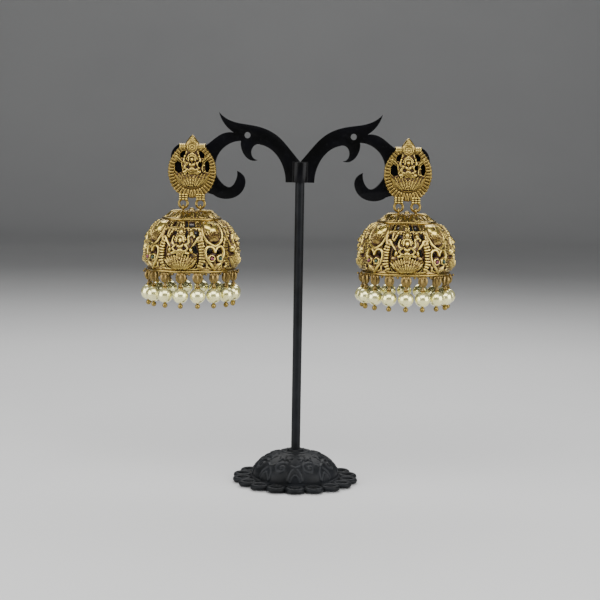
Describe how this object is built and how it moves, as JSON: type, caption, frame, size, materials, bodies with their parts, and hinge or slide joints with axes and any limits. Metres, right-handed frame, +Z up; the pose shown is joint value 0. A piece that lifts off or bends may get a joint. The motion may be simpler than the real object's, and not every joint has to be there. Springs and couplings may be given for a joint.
{
  "type": "pair of jhumka earrings on an earring stand",
  "caption": "Bell-shaped antique-gold jhumka earrings with pierced figure and lotus panels and pearl fringes, hanging from post studs on a small black scroll-armed stand.",
  "frame": {"origin": "on the ground under the stand's rod, in the middle of the base's flat underside", "axes": "+Z up along the rod, the ornament faces -Y, the arms run along X"},
  "size_m": [0.103, 0.042, 0.1219],
  "materials": {
    "antique_gold": "cast, gold plated, antiqued dark in its recesses",
    "pearl": "cream imitation pearl with a soft sheen",
    "red_stone": "polished pink-red cabochon",
    "green_stone": "polished green cabochon",
    "post_metal": "plain gilt steel",
    "stand_plastic": "satin black, moulded",
    "stand_black": "satin black"
  },
  "bodies": {
    "stand": {"stand_base": "stand_black", "stand_rod": "stand_black", "stand_head": "stand_plastic", "left_stud": "antique_gold", "left_post": "post_metal", "right_stud": "antique_gold", "right_post": "post_metal"},
    "left_drop": {"left_bell": "antique_gold", "left_red_stones": "red_stone", "left_green_stones": "green_stone", "left_pearl_pins": "antique_gold", "left_pearl_01": "pearl", "left_pearl_02": "pearl", "left_pearl_03": "pearl", "left_pearl_04": "pearl", "left_pearl_05": "pearl", "left_pearl_06": "pearl", "left_pearl_07": "pearl", "left_pearl_08": "pearl", "left_pearl_09": "pearl", "left_pearl_10": "pearl", "left_pearl_11": "pearl", "left_pearl_12": "pearl", "left_pearl_13": "pearl", "left_pearl_14": "pearl", "left_pearl_15": "pearl", "left_pearl_16": "pearl"},
    "right_drop": {"right_bell": "antique_gold", "right_red_stones": "red_stone", "right_green_stones": "green_stone", "right_pearl_pins": "antique_gold", "right_pearl_01": "pearl", "right_pearl_02": "pearl", "right_pearl_03": "pearl", "right_pearl_04": "pearl", "right_pearl_05": "pearl", "right_pearl_06": "pearl", "right_pearl_07": "pearl", "right_pearl_08": "pearl", "right_pearl_09": "pearl", "right_pearl_10": "pearl", "right_pearl_11": "pearl", "right_pearl_12": "pearl", "right_pearl_13": "pearl", "right_pearl_14": "pearl", "right_pearl_15": "pearl", "right_pearl_16": "pearl"}
  },
  "joints": [
    {"name": "left_swing", "type": "hinge", "parent": "stand", "child": "left_drop", "pos_m": [-0.0351, -0.0022, 0.09075], "axis": [1, 0, 0], "range_deg": [-70, 70]},
    {"name": "right_swing", "type": "hinge", "parent": "stand", "child": "right_drop", "pos_m": [0.0351, -0.0022, 0.09075], "axis": [1, 0, 0], "range_deg": [-70, 70]}
  ]
}
